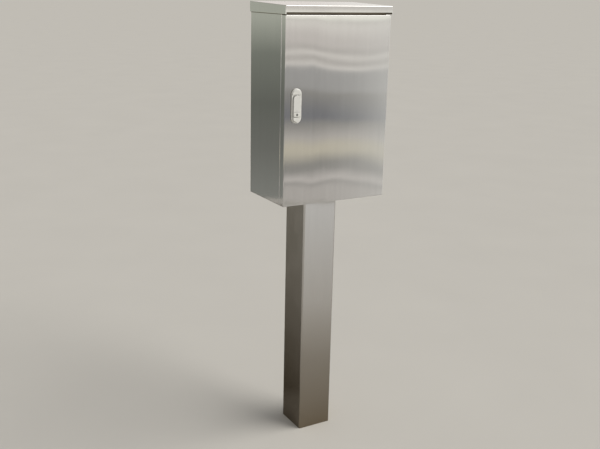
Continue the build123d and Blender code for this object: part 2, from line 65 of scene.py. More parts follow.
MM = 0.001
SHARP_FROM = radians(28)
nodes = frame["nodes"]


def linear(colour):
    """An sRGB hex value as linear red, green and blue, with full alpha."""
    parts = [int(colour[i:i + 2], 16) / 255 for i in (0, 2, 4)]
    return (*[c / 12.92 if c <= 0.04045 else ((c + 0.055) / 1.055) ** 2.4 for c in parts], 1.0)


def colour_property(name, description, colour):
    return FloatVectorProperty(
        name=name, description=description, subtype="COLOR", size=4, min=0, max=1, default=linear(colour)
    )


def length_property(name, description, millimetres):
    return FloatProperty(name=name, description=description, unit="LENGTH", min=0, default=millimetres * MM)


class CabinetFinish(bpy.types.PropertyGroup):
    """Colours and pattern sizes of the cabinet's surfaces."""

    satin: colour_property("Satin sheet", "Stainless sheet of the box and post, as its grain reflects", "CDCCCA")
    satin_dull: colour_property("Satin sheet, dull", "The same sheet in the hollows of its grain", "C4C3C1")
    satin_roughness: FloatProperty(
        name="Satin roughness", description="Roughness of the brushed sheet", min=0.02, max=1, default=0.09
    )
    inside_roughness: FloatProperty(
        name="Inside roughness", description="Roughness of the sheet's unbrushed inner side", min=0.02, max=1, default=0.3
    )
    film_roughness: FloatProperty(
        name="Film roughness", description="How much rougher the dull film makes the sheet", min=0, max=1, default=0.16
    )
    # The foot tone is painted shade, darkening the sheet towards the ground.
    foot: colour_property("Foot of the post", "Tone of the dull film on the sheet near the ground", "857B6C")
    # The tone under the cap is painted shade for the dark gap between the cap and the door.
    sheltered: colour_property("Under the cap", "Tone of the dark film on the sheet under the cap's edge", "7A7366")
    sheet: length_property("Sheet", "Thickness of the sheet of the box and the door", 1.5)
    grain_width: length_property("Grain width", "Width of a line of the vertical grain, drawn coarse", 1.2)
    grain_length: length_property("Grain length", "Length of a line of the grain", 120)
    door_crown: length_property("Door crown", "How far the middle of the door's sheet stands proud", 1.2)
    mill: colour_property("Mill finish", "Unbrushed stainless of hinges, rails and plates", "BDBBB6")
    zinc: colour_property("Zinc plating", "Bright zinc on bolts, nuts and studs", "C3C7C8")
    galvanised: colour_property("Galvanised sheet", "Hot-dipped zinc on the mounting plate", "B4B8B9")
    spangle: length_property("Spangle", "Width of a crystal in the galvanised sheet", 9)
    plastic: colour_property("Lock plastic", "Off-white moulded lock", "D6D5CF")
    dark_plastic: colour_property("Key cover", "Dark grey moulded cap over the key's hole", "34352F")
    rubber: colour_property("Rubber", "Black seals and grommet", "1E1E1D")
    weld: colour_property("Weld", "Bead of a weld after brushing", "A7A199")


class CabinetHardware(bpy.types.PropertyGroup):
    """Sizes of the fasteners and welds that the frame doesn't give."""

    m8_pitch: length_property("M8 pitch", "From one thread to the next on 8 mm studs and bolts", 1.25)
    m8_flats: length_property("M8 flats", "Across the flats of an 8 mm nut or bolt head", 13)
    m8_washer: length_property("M8 washer", "Thickness of an 8 mm nut's washer", 1.6)
    m6_pitch: length_property("M6 pitch", "From one thread to the next on 6 mm studs", 1)
    m6_flats: length_property("M6 flats", "Across the flats of a 6 mm nut", 10)
    m6_washer: length_property("M6 washer", "Thickness of a 6 mm nut's washer", 1.2)
    m5_pitch: length_property("M5 pitch", "From one thread to the next on the tongue's screw", 0.8)
    m5_flats: length_property("M5 flats", "Across the flats of the tongue's screw", 8)
    m5_head: length_property("M5 head", "Height of the head of the tongue's screw", 3.5)
    m8_head: length_property("M8 head", "Height of the head of an 8 mm bolt", 5.3)
    nut_washer_edge: length_property("Washer edge", "Bevel on the edge of a washer", 0.3)
    tip_chamfer: length_property("Tip chamfer", "Chamfer on the tip of a stud or bolt", 0.8)
    cap_rise: length_property("Cap rise", "The roof is this much higher at the back", 7)
    clamp_screw: length_property("Clamp screw", "Width of the screws of the lock's clamp over their thread", 3.2)
    clamp_pitch: length_property("Clamp screw pitch", "From one thread to the next on those screws", 0.9)
    clamp_head: length_property("Clamp screw head", "Width of their round heads", 7.2)
    clamp_head_height: length_property("Clamp screw head height", "Height of their heads", 2.4)
    socket: length_property("Socket", "Across the flats of the socket in their heads", 2.5)
    socket_depth: length_property("Socket depth", "Depth of that socket", 1.4)
    spring_wire: length_property("Spring wire", "Width of the button spring's wire", 0.8)
    spring_turns: IntProperty(name="Spring turns", description="Turns of the button's spring", min=1, default=5)
    spindle_rise: length_property("Spindle", "How far the lock's spindle stands over its middle", 22.5)
    step_from_spindle: length_property("Step", "From the spindle down to the step in the lever", 40.8)
    step_width: length_property("Step width", "Width of the step in the lever", 22)
    step_margin: length_property("Step margin", "Wall of the lever beside its step", 2)
    step_depth: length_property("Step depth", "How deep the step in the lever is", 0.9)
    finger_gap: length_property("Finger gap", "Gap over the sliding flap, for a fingernail", 0.8)
    flap_gap: length_property("Flap gap", "Gap at the sides of the sliding flap", 0.35)
    flap_thickness: length_property("Flap", "Thickness of the sliding flap over the key's hole", 0.8)
    flap_edge: length_property("Flap edge", "Rounding of the flap's edge", 0.2)
    bead_radius: length_property("Weld bead", "Radius of a weld's bead", 1.5)
    bead_length: length_property("Weld length", "Length of each stitch of weld on a hinge", 12)
    bead_ripple: length_property("Weld ripple", "From one ripple of a weld to the next", 1.6)
    spot_radius: length_property("Spot weld", "Radius of a spot weld on the door's rails", 2.4)
    spot_pitch: length_property("Spot weld pitch", "From one spot weld to the next", 72)
    spot_height: length_property("Spot weld height", "How far the rim of a spot weld stands up", 0.25)
    rail_foot: length_property("Rail foot", "Width of the foot of a door rail", 8)
    rail_sheet: length_property("Rail sheet", "Thickness of a door rail's sheet", 1.25)
    seam_width: length_property("Tube seam", "Width of the ground weld up the back of the post", 5)
    seam_height: length_property("Tube seam height", "How far that weld stands up from the sheet", 0.3)


class CabinetStudio(bpy.types.PropertyGroup):
    """The floor, the light and the camera."""

    floor: colour_property("Floor", "Plain pale floor", "CBC7BF")
    sky: colour_property("Sky", "Even light from all round", "F4F5F7")
    backdrop: colour_property("Backdrop", "What shows beyond the floor", "C0BCB4")
    sky_strength: FloatProperty(name="Sky strength", description="Level of the even light", min=0, default=0.42)
    sun_strength: FloatProperty(name="Sun strength", description="Level of the soft lamp", min=0, default=3.1)
    sun_size: FloatProperty(
        name="Sun size", description="Angle of the soft lamp", subtype="ANGLE", min=0, default=radians(60)
    )
    tent_radius: FloatProperty(name="Tent radius", description="Radius of the light tent", unit="LENGTH", default=3.6)
    tent_height: FloatProperty(name="Tent height", description="Height of the light tent", unit="LENGTH", default=3.0)
    tent_strength: FloatProperty(name="Tent strength", description="Level of the tent's wall", min=0, default=1.5)
    dark_cloth: FloatVectorProperty(
        name="Dark cloth", description="Width and length of the dark cloth behind the post, seen in reflections only",
        unit="LENGTH", size=2, default=(0.9, 3.4),
    )
    pale_cloth: FloatVectorProperty(
        name="Pale cloth", description="Width and length of the pale cloth in front of it, seen in reflections only",
        unit="LENGTH", size=2, default=(2.0, 3.4),
    )
    floor_reach: FloatProperty(
        name="Floor reach", description="From the middle of the floor to its edge", unit="LENGTH", default=400
    )
    camera_place: FloatVectorProperty(
        name="Camera place", description="Where the camera stands", subtype="XYZ", size=3,
        default=(-1.4653, -2.4331, 1.5974),
    )
    heading: FloatProperty(
        name="Heading", description="Camera's turn to the right of +Y", subtype="ANGLE", default=radians(30.31)
    )
    dip: FloatProperty(
        name="Dip", description="Camera's tilt under the horizon", subtype="ANGLE", default=radians(16.15)
    )
    roll: FloatProperty(
        name="Roll", description="Camera's roll, right side up", subtype="ANGLE", default=radians(1.25)
    )
    lens: FloatProperty(name="Lens", description="Focal length on a 36 mm sensor, in mm", min=1, default=49.15)


# Shader building
def add(tree, kind, inputs=None, **settings):
    """Adds a node with its settings; each input is a value to set or a socket to link."""
    node = tree.nodes.new("ShaderNode" + kind)
    for name, value in settings.items():
        setattr(node, name, value)
    for name, value in (inputs or {}).items():
        if isinstance(value, bpy.types.NodeSocket):
            tree.links.new(value, node.inputs[name])
        else:
            node.inputs[name].default_value = value
    return node


def new_material(name):
    material = bpy.data.materials.new(name)
    material.use_nodes = True
    material.node_tree.nodes.clear()
    return material, material.node_tree


def surface(tree, shader):
    add(tree, "OutputMaterial", {"Surface": shader.outputs[0]})


def noise(tree, place, size, detail=2.0, stretch=(1, 1, 1)):
    """Noise whose blotches are about size metres across, stretched along an axis."""
    scale = tuple(1 / (size * s) for s in stretch)
    mapped = add(tree, "Mapping", {"Vector": place, "Scale": scale})
    return add(tree, "TexNoise", {"Vector": mapped.outputs[0], "Scale": 1.0, "Detail": detail}).outputs["Fac"]


def spread(tree, value, low, high, to_low=0.0, to_high=1.0):
    """Maps a value's span onto another, held at its ends."""
    limits = {"Value": value, "From Min": low, "From Max": high, "To Min": to_low, "To Max": to_high}
    return add(tree, "MapRange", limits).outputs[0]


def calc(tree, operation, first, second=0.0, third=0.0):
    return add(tree, "Math", {0: first, 1: second, 2: third}, operation=operation).outputs[0]


def mix(tree, factor, first, second, blend_type="MIX"):
    """A colour between two, or the two multiplied by the factor's share."""
    inputs = {0: factor, 6: first, 7: second}
    return add(tree, "Mix", inputs, data_type="RGBA", blend_type=blend_type).outputs[2]


def level_tangent(tree):
    """The level direction along a wall, square to its upright grain."""
    normal = add(tree, "NewGeometry").outputs["Normal"]
    upright = (0.0, 0.002, 1.0)
    return add(tree, "VectorMath", {0: normal, 1: upright}, operation="CROSS_PRODUCT").outputs[0]


# Satin stainless, cold rolled sheet brushed upright with a fine belt on its
# outer side: each reflection is drawn out level across the sheet, in bands.
def satin_sheet(name, finish, crown=None, film=None, folded=None):
    material, tree = new_material(name)
    place = add(tree, "TexCoord").outputs["Object"]
    width = finish.grain_width
    length = finish.grain_length / width
    grain = spread(tree, noise(tree, place, width, 2, (1, 1, length)), 0.3, 0.7)
    streak = noise(tree, place, 9 * width, 3, (1, 1, length / 3))
    handling = noise(tree, place, 85 * MM, 4)
    tone = calc(tree, "MULTIPLY_ADD", grain, 0.4, calc(tree, "MULTIPLY", streak, 0.6))
    colour = mix(tree, tone, finish.satin_dull, finish.satin)
    rough = calc(tree, "MULTIPLY_ADD", grain, 0.02, finish.satin_roughness - 0.01)
    rough = calc(tree, "MULTIPLY_ADD", spread(tree, handling, 0.4, 0.7), 0.015, rough)
    # A film darkens the sheet with painted shade where it is given, and makes it rougher.
    if film:
        share, tint = film(tree, place, finish)
        colour = mix(tree, share, colour, tint)
        rough = calc(tree, "MULTIPLY_ADD", share, finish.film_roughness, rough)
    if folded:
        duller = finish.inside_roughness - finish.satin_roughness
        rough = calc(tree, "MULTIPLY_ADD", inner_side(tree, place, *folded), duller, rough)
    wave = calc(tree, "MULTIPLY", noise(tree, place, 0.16, 1), 0.35 * MM)
    if crown:
        wave = calc(tree, "ADD", wave, crown(tree, place, finish))
    waved = add(tree, "Bump", {"Height": wave, "Distance": 1.0, "Strength": 1.0})
    lined = add(tree, "Bump", {"Height": grain, "Distance": 0.004 * MM, "Normal": waved.outputs[0]})
    shader = add(
        tree,
        "BsdfPrincipled",
        {
            "Base Color": colour,
            "Metallic": 1.0,
            "Roughness": rough,
            "Anisotropic": 1.0,
            "Normal": lined.outputs[0],
            "Tangent": level_tangent(tree),
        },
    )
    surface(tree, shader)
    return material


def inner_side(tree, place, node, sheet, open_back):
    """One on the inner side of a folded sheet, nought on its outer side."""
    low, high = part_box(node)
    part = add(tree, "SeparateXYZ", {0: place}).outputs
    depth = calc(tree, "SUBTRACT", part["Y"], low.y)
    for axis, coordinate in enumerate("XYZ"):
        for side in (low, high):
            if axis == 1 and (side is low or open_back):
                continue
            inwards = calc(tree, "ABSOLUTE", calc(tree, "SUBTRACT", part[coordinate], side[axis]))
            depth = calc(tree, "MINIMUM", depth, inwards)
    return spread(tree, depth, 0.4 * sheet, 0.6 * sheet)


def door_crown(tree, place, finish):
    """Height of the door's sheet, which stands proud between its folds and the rail by the lock.

    It is flat again at its top and bottom folds, and bends down more sharply at its sides.
    """
    low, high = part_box("door_panel")
    low.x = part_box("door_rail_left")[1].x
    middle = (low + high) / 2
    half = (high - low) / 2
    part = add(tree, "SeparateXYZ", {0: place}).outputs
    across = calc(tree, "DIVIDE", calc(tree, "SUBTRACT", part["X"], middle.x), half.x)
    up = calc(tree, "DIVIDE", calc(tree, "SUBTRACT", part["Z"], middle.z), half.z)
    across = calc(tree, "POWER", calc(tree, "ABSOLUTE", across), 3.0)
    across = calc(tree, "MAXIMUM", calc(tree, "SUBTRACT", 1.0, across))
    up = calc(tree, "MAXIMUM", calc(tree, "SUBTRACT", 1.0, calc(tree, "MULTIPLY", up, up)))
    up = calc(tree, "POWER", up, 2.0)
    return calc(tree, "MULTIPLY", calc(tree, "MULTIPLY", across, up), finish.door_crown)


def foot_film(tree, place, finish):
    """The dull film on the post, thicker towards the ground: a rougher sheet, and painted shade that darkens it towards
    the ground.
    """
    height = add(tree, "SeparateXYZ", {0: place}).outputs["Z"]
    return calc(tree, "POWER", spread(tree, height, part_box("post_tube")[1].z, 0), 1.2), finish.foot


def sheltered_film(tree, place, finish):
    """Painted shade on the box's rim above the door, under the cap's edge: there the sheet is darker and rougher."""
    height = add(tree, "SeparateXYZ", {0: place}).outputs["Z"]
    door_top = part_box("door_panel")[1].z
    return spread(tree, height, door_top - MM, door_top), finish.sheltered


# Stainless with the mill's own finish, cold rolled and pickled: grey, even
# and softly dull, with a faint cloud.
def mill_stainless(finish):
    material, tree = new_material("mill_finish_stainless")
    place = add(tree, "TexCoord").outputs["Object"]
    cloud = noise(tree, place, 14 * MM, 4)
    dark = tuple(c * 0.86 for c in finish.mill[:3]) + (1,)
    colour = mix(tree, cloud, dark, finish.mill)
    rough = spread(tree, cloud, 0.3, 0.7, 0.3, 0.42)
    bump = add(tree, "Bump", {"Height": noise(tree, place, 0.6 * MM, 2), "Distance": 0.004 * MM})
    inputs = {"Base Color": colour, "Metallic": 1.0, "Roughness": rough, "Normal": bump.outputs[0]}
    surface(tree, add(tree, "BsdfPrincipled", inputs))
    return material


# Weld in stainless, pickled after welding: duller and rougher than the sheet,
# with a trace of straw colour.
def stainless_weld(finish):
    material, tree = new_material("stainless_weld")
    place = add(tree, "TexCoord").outputs["Object"]
    stain = noise(tree, place, 5 * MM, 3)
    straw = tuple(c * s for c, s in zip(finish.weld[:3], (0.92, 0.78, 0.58))) + (1,)
    colour = mix(tree, spread(tree, stain, 0.45, 0.75), finish.weld, straw)
    bump = add(tree, "Bump", {"Height": noise(tree, place, 0.7 * MM, 2), "Distance": 0.03 * MM})
    inputs = {"Base Color": colour, "Metallic": 1.0, "Roughness": 0.38, "Normal": bump.outputs[0]}
    surface(tree, add(tree, "BsdfPrincipled", inputs))
    return material


# Hot-dip galvanised steel: frozen zinc crystals, each with its own grey.
def galvanised_sheet(finish):
    material, tree = new_material("galvanised_steel")
    place = add(tree, "TexCoord").outputs["Object"]
    mapped = add(tree, "Mapping", {"Vector": place, "Scale": (1 / finish.spangle,) * 3})
    crystal = add(tree, "TexVoronoi", {"Vector": mapped.outputs[0], "Scale": 1.0, "Randomness": 0.9})
    shade = add(tree, "SeparateColor", {0: crystal.outputs["Color"]}).outputs[0]
    dark = tuple(c * 0.72 for c in finish.galvanised[:3]) + (1,)
    colour = mix(tree, shade, dark, finish.galvanised)
    rough = spread(tree, shade, 0, 1, 0.32, 0.5)
    bump = add(tree, "Bump", {"Height": crystal.outputs["Distance"], "Distance": 0.01 * MM})
    inputs = {"Base Color": colour, "Metallic": 1.0, "Roughness": rough, "Normal": bump.outputs[0]}
    surface(tree, add(tree, "BsdfPrincipled", inputs))
    return material


# Bright zinc plating on steel fasteners: cool and shiny, with dull patches.
def zinc_plating(finish):
    material, tree = new_material("bright_zinc_plating")
    place = add(tree, "TexCoord").outputs["Object"]
    patch = noise(tree, place, 3 * MM, 3)
    dark = tuple(c * 0.75 for c in finish.zinc[:3]) + (1,)
    colour = mix(tree, patch, dark, finish.zinc)
    rough = spread(tree, patch, 0.3, 0.7, 0.2, 0.36)
    surface(tree, add(tree, "BsdfPrincipled", {"Base Color": colour, "Metallic": 1.0, "Roughness": rough}))
    return material


# Moulded plastic, glass-filled nylon or ABS from a fine-sparked mould: a soft
# gloss over a very fine even grit.
def moulded_plastic(name, colour, roughness):
    material, tree = new_material(name)
    place = add(tree, "TexCoord").outputs["Object"]
    cloud = noise(tree, place, 12 * MM, 3)
    dark = tuple(c * 0.96 for c in colour[:3]) + (1,)
    tint = mix(tree, cloud, dark, tuple(colour))
    bump = add(tree, "Bump", {"Height": noise(tree, place, 0.35 * MM, 2), "Distance": 0.006 * MM})
    rough = spread(tree, cloud, 0.3, 0.7, roughness - 0.015, roughness + 0.015)
    inputs = {"Base Color": tint, "Roughness": rough, "IOR": 1.53, "Normal": bump.outputs[0]}
    surface(tree, add(tree, "BsdfPrincipled", inputs))
    return material


# Sealing rubber and foam: black, dull, with fine pores.
def seal_rubber(finish):
    material, tree = new_material("black_seal_rubber")
    place = add(tree, "TexCoord").outputs["Object"]
    pore = noise(tree, place, 0.9 * MM, 3)
    pale = tuple(min(1, c * 2.2) for c in finish.rubber[:3]) + (1,)
    colour = mix(tree, pore, finish.rubber, pale)
    bump = add(tree, "Bump", {"Height": pore, "Distance": 0.08 * MM, "Strength": 0.6})
    inputs = {"Base Color": colour, "Roughness": 0.72, "IOR": 1.5, "Normal": bump.outputs[0]}
    surface(tree, add(tree, "BsdfPrincipled", inputs))
    return material


def dress(name, material):
    """Gives a carried-over node its finish."""
    piece = nodes[name]
    if not piece.material_slots:
        piece.data.materials.append(material)
    for held in piece.material_slots:
        held.link = "OBJECT"
        held.material = material


def nodes_of(slot):
    """The nodes that the record gives this material slot."""
    return [part["node"] for part in frame["record"]["subparts"] if part["material_slot"] == slot]


class CABINET_OT_finishes(bpy.types.Operator):
    """Give every carried-over piece its finish"""

    bl_idname = "cabinet.finishes"
    bl_label = "Finishes"

    def execute(self, context):
        finish = context.scene.cabinet_finish
        sheet = finish.sheet
        door = satin_sheet("satin_stainless_door", finish, door_crown, folded=("door_panel", sheet, True))
        box = satin_sheet("satin_stainless_box", finish, film=sheltered_film, folded=("body_shell", sheet, False))
        cap = satin_sheet("satin_stainless_cap", finish)
        post = satin_sheet("satin_stainless_post", finish, film=foot_film)
        sheets = {"door_panel": door, "body_shell": box, "rain_cap": cap, "post_tube": post}
        slots = {
            "plain_stainless": mill_stainless(finish),
            "galvanised_plate": galvanised_sheet(finish),
            "zinc_hardware": zinc_plating(finish),
            "seal_rubber": seal_rubber(finish),
            "white_plastic": moulded_plastic("off_white_moulded_plastic", finish.plastic, 0.28),
            "dark_plastic": moulded_plastic("dark_moulded_plastic", finish.dark_plastic, 0.45),
        }
        stainless_weld(finish)
        for name, material in sheets.items():
            dress(name, material)
        for slot, material in slots.items():
            for name in nodes_of(slot):
                dress(name, material)
        return {"FINISHED"}


def new_piece(name, shape, material=None):
    """A bmesh as an object at the origin."""
    mesh = bpy.data.meshes.new(name)
    shape.to_mesh(mesh)
    shape.free()
    piece = bpy.data.objects.new(name, mesh)
    bpy.context.scene.collection.objects.link(piece)
    if material:
        mesh.materials.append(material)
    return piece


def stand_in(name, shape, material_name, body, slot, *replaced):
    """A finished piece that rides on a body, in place of the nodes named; only its folds look sharp."""
    bmesh.ops.recalc_face_normals(shape, faces=shape.faces)
    for face in shape.faces:
        face.smooth = True
    for edge in shape.edges:
        edge.smooth = edge.calc_face_angle(0) < SHARP_FROM
    piece = new_piece(name, shape, bpy.data.materials[material_name])
    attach(piece, body)
    if replaced:
        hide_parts(*replaced)
    return piece


def solids_of(name):
    """The lowest and highest corner of each separate solid in a carried-over node."""
    shape = bmesh.new()
    shape.from_mesh(nodes[name].data)
    bmesh.ops.remove_doubles(shape, verts=shape.verts, dist=0.001 * MM)
    left = set(shape.verts)
    boxes = []
    while left:
        group = [left.pop()]
        for vert in group:
            near = {edge.other_vert(vert) for edge in vert.link_edges} & left
            left -= near
            group += near
        spans = [[vert.co[i] for vert in group] for i in range(3)]
        boxes.append((Vector([min(s) for s in spans]), Vector([max(s) for s in spans])))
    shape.free()
    return sorted(boxes, key=lambda box: tuple(round(c, 4) for c in box[0]))


def along(direction, place):
    """Carries +Z at the origin to a direction at a place."""
    return Matrix.Translation(place) @ direction.to_track_quat("Z", "Y").to_matrix().to_4x4()


def add_shape(whole, shape, place=Matrix()):
    """Puts a copy of one bmesh into another, at a place."""
    held = bpy.data.meshes.new("held")
    shape.to_mesh(held)
    known = set(whole.verts)
    whole.from_mesh(held)
    bmesh.ops.transform(whole, matrix=place, verts=[v for v in whole.verts if v not in known])
    bpy.data.meshes.remove(held)


def slice_off(shape, place, outward):
    """Cuts away what lies past a plane, and closes the cut."""
    geom = shape.verts[:] + shape.edges[:] + shape.faces[:]
    cut = bmesh.ops.bisect_plane(
        shape, geom=geom, dist=0.0001 * MM, plane_co=place, plane_no=outward, clear_outer=True
    )
    rim = [e for e in cut["geom_cut"] if isinstance(e, bmesh.types.BMEdge) and e.is_boundary]
    bmesh.ops.holes_fill(shape, edges=rim)


def raised(shape, height):
    """Raises a flat outline from the origin up, and gives the vertices of its top."""
    top = bmesh.ops.extrude_face_region(shape, geom=shape.faces[:])["geom"]
    top = [v for v in top if isinstance(v, bmesh.types.BMVert)]
    bmesh.ops.translate(shape, verts=top, vec=(0, 0, height))
    return top


def soften(shape, top, edge, segments=4):
    """Rounds the rim of a raised outline's top."""
    rim = [e for e in shape.edges if all(v in top for v in e.verts)]
    bmesh.ops.bevel(shape, geom=rim, offset=edge, affect="EDGES", segments=segments, profile=0.5, material=-1)


def round_corners(shape, radius, height, steep, cuts=24):
    """Turns an end's corners down to a cone that meets the end at this radius."""
    for k in range(cuts):
        turn = 2 * pi * (k + 0.5) / cuts
        aside = Vector((cos(turn), sin(turn), 0))
        slice_off(shape, aside * radius + Vector((0, 0, height)), aside * sin(steep) + Vector((0, 0, cos(steep))))


# Hardware
def threaded_rod(radius, pitch, length, chamfer):
    """A rod from the origin up, with a helical thread and a chamfered tip."""
    steps = 16
    depth = 0.55 * pitch
    shape = bmesh.new()
    points = []
    for turn in range(-1, int(length / pitch) + 2):
        foot = turn * pitch
        points += [(radius - depth, foot), (radius - depth, foot + pitch / 8)]
        points += [(radius, foot + pitch * 0.45), (radius, foot + pitch * 0.65)]
    line = [shape.verts.new((r, 0, z)) for r, z in points]
    edges = [shape.edges.new(pair) for pair in zip(line, line[1:])]
    bmesh.ops.spin(
        shape, geom=line + edges, cent=(0, 0, 0), axis=(0, 0, 1), dvec=(0, 0, pitch / steps),
        angle=2 * pi, steps=steps, use_merge=False,
    )
    bmesh.ops.remove_doubles(shape, verts=shape.verts, dist=pitch / 100)
    slice_off(shape, Vector(), Vector((0, 0, -1)))
    slice_off(shape, Vector((0, 0, length)), Vector((0, 0, 1)))
    round_corners(shape, radius - chamfer, length, radians(45), 12)
    return shape


def hexagon(flats, height):
    """A hexagon from the origin up, its corners turned down to 30 degrees."""
    shape = bmesh.new()
    bmesh.ops.create_circle(shape, cap_ends=True, segments=6, radius=flats / sqrt(3))
    raised(shape, height)
    round_corners(shape, 0.48 * flats, height, radians(30))
    return shape


def socket_head(radius, height, edge, flats, depth):
    """A round head from the origin up, with a hexagon socket in its rounded top."""
    shape = bmesh.new()
    bmesh.ops.create_circle(shape, cap_ends=True, segments=24, radius=radius)
    soften(shape, raised(shape, height), edge, 5)
    top = max(shape.faces, key=lambda face: face.calc_center_median().z)
    bmesh.ops.inset_region(shape, faces=[top], thickness=(radius - edge - flats / 2) / 2)
    for vert in top.verts:
        off_middle = atan2(vert.co.y, vert.co.x) % radians(60) - radians(30)
        vert.co.xy *= flats / 2 / cos(off_middle) / vert.co.xy.length
    bmesh.ops.inset_region(shape, faces=[top], thickness=0.02 * flats, depth=-depth)
    return shape


def washer(radius, thickness, edge):
    """A plain washer from the origin up, its upper edge a little rounded."""
    shape = bmesh.new()
    bmesh.ops.create_circle(shape, cap_ends=True, segments=32, radius=radius)
    soften(shape, raised(shape, thickness), edge)
    return shape


def down_from_roof(hardware):
    """The direction square to the sloping roof, into the cabinet."""
    low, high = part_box("rain_cap")
    slope = atan2(hardware.cap_rise, high.y - low.y)
    return Vector((0, sin(slope), -cos(slope)))


def span_along(direction, box):
    """How long a box is along the axis nearest to a direction, and its middle."""
    low, high = box
    axis = max(range(3), key=lambda i: abs(direction[i]))
    return high[axis] - low[axis], (low + high) / 2


class CABINET_OT_studs(bpy.types.Operator):
    """Threaded studs for the plate, the cap and the earth wires"""

    bl_idname = "cabinet.studs"
    bl_label = "Studs"

    def execute(self, context):
        sizes = context.scene.cabinet_hardware
        down = down_from_roof(sizes)
        kinds = (
            ("plate_studs", "cabinet", Vector((0, -1, 0)), sizes.m8_pitch),
            ("cap_studs", "cabinet", down, sizes.m6_pitch),
            ("earth_stud", "cabinet", Vector((1, 0, 0)), sizes.m8_pitch),
            ("door_earth_stud", "door", Vector((0, 1, 0)), sizes.m6_pitch),
        )
        for name, body, outward, pitch in kinds:
            whole = bmesh.new()
            for box in solids_of(name):
                length, middle = span_along(outward, box)
                radius = (box[1].z - box[0].z if abs(outward.z) < 0.5 else box[1].x - box[0].x) / 2
                rod = threaded_rod(radius, pitch, length, sizes.tip_chamfer)
                add_shape(whole, rod, along(outward, middle - outward * length / 2))
                rod.free()
            stand_in("threaded_" + name, whole, "bright_zinc_plating", body, "zinc_hardware", name)
        return {"FINISHED"}


class CABINET_OT_nuts(bpy.types.Operator):
    """Hexagon nuts on their washers"""

    bl_idname = "cabinet.nuts"
    bl_label = "Nuts"

    def execute(self, context):
        sizes = context.scene.cabinet_hardware
        m8 = (sizes.m8_flats, sizes.m8_washer)
        m6 = (sizes.m6_flats, sizes.m6_washer)
        kinds = (
            ("plate_nuts", "cabinet", Vector((0, -1, 0)), m8),
            ("cap_nuts", "cabinet", down_from_roof(sizes), m6),
            ("earth_nuts", "cabinet", Vector((1, 0, 0)), m8),
            ("door_earth_nut", "door", Vector((0, 1, 0)), m6),
            ("floor_bolt_nuts", "cabinet", Vector((0, 0, -1)), m8),
        )
        for name, body, outward, (flats, thickness) in kinds:
            whole = bmesh.new()
            for box in solids_of(name):
                length, middle = span_along(outward, box)
                radius = (box[1].z - box[0].z if abs(outward.z) < 0.5 else box[1].x - box[0].x) / 2
                place = along(outward, middle - outward * length / 2)
                ring = washer(radius, thickness, sizes.nut_washer_edge)
                add_shape(whole, ring, place)
                ring.free()
                nut = hexagon(flats, length - thickness)
                add_shape(whole, nut, place @ Matrix.Translation((0, 0, thickness)))
                nut.free()
            stand_in("turned_" + name, whole, "bright_zinc_plating", body, "zinc_hardware", name)
        return {"FINISHED"}


class CABINET_OT_bolts(bpy.types.Operator):
    """Bolts through the cabinet's floor, and the screws of the lock's tongue and clamp"""

    bl_idname = "cabinet.bolts"
    bl_label = "Bolts"

    def execute(self, context):
        sizes = context.scene.cabinet_hardware
        up = Vector((0, 0, 1))
        back = Vector((0, 1, 0))
        m8 = hexagon(sizes.m8_flats, sizes.m8_head)
        m5 = hexagon(sizes.m5_flats, sizes.m5_head)
        button = socket_head(
            sizes.clamp_head / 2, sizes.clamp_head_height, sizes.clamp_head_height / 2, sizes.socket, sizes.socket_depth
        )
        kinds = (
            ("floor_bolts", "cabinet", up, 8 * MM, sizes.m8_pitch, m8, sizes.m8_head),
            ("tongue_screw", "spindle", back, 5 * MM, sizes.m5_pitch, m5, sizes.m5_head),
            ("lock_clamp_screws", "door", back, sizes.clamp_screw, sizes.clamp_pitch, button, sizes.clamp_head_height),
        )
        for name, body, up, width, pitch, head, head_height in kinds:
            whole = bmesh.new()
            for box in solids_of(name):
                length, middle = span_along(up, box)
                under_head = middle + up * (length / 2 - head_height)
                rod = threaded_rod(width / 2, pitch, length - head_height, sizes.tip_chamfer)
                add_shape(whole, rod, along(-up, under_head))
                rod.free()
                add_shape(whole, head, along(up, under_head))
            head.free()
            stand_in("threaded_" + name, whole, "bright_zinc_plating", body, "zinc_hardware", name)
        return {"FINISHED"}


# Lock
class CABINET_OT_button_spring(bpy.types.Operator):
    """Coil spring behind the lock's button, made at its rest length, though the real one shortens as the button is
    pressed
    """

    bl_idname = "cabinet.button_spring"
    bl_label = "Button spring"

    def execute(self, context):
        sizes = context.scene.cabinet_hardware
        low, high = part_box("button_spring")
        wire = sizes.spring_wire / 2
        middle = (low + high) / 2
        length = high.y - low.y - 2 * wire
        steps = 24 * sizes.spring_turns
        coil = bmesh.new()
        bmesh.ops.create_circle(coil, segments=16, radius=wire)
        bmesh.ops.rotate(coil, verts=coil.verts, matrix=Matrix.Rotation(radians(90), 3, "X"))
        bmesh.ops.translate(coil, verts=coil.verts, vec=((high.x - low.x) / 2 - wire, 0, 0))
        bmesh.ops.spin(
            coil, geom=coil.verts[:] + coil.edges[:], cent=(0, 0, 0), axis=(0, 0, 1), dvec=(0, 0, length / steps),
            angle=2 * pi * sizes.spring_turns, steps=steps, use_merge=False,
        )
        bmesh.ops.holes_fill(coil, edges=[e for e in coil.edges if e.is_boundary])
        place = along(Vector((0, 1, 0)), Vector((middle.x, low.y + wire, middle.z)))
        bmesh.ops.transform(coil, matrix=place, verts=coil.verts)
        spring = stand_in(
            "coiled_button_spring", coil, "mill_finish_stainless", "door", "plain_stainless", "button_spring"
        )
        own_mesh(spring)
        return {"FINISHED"}


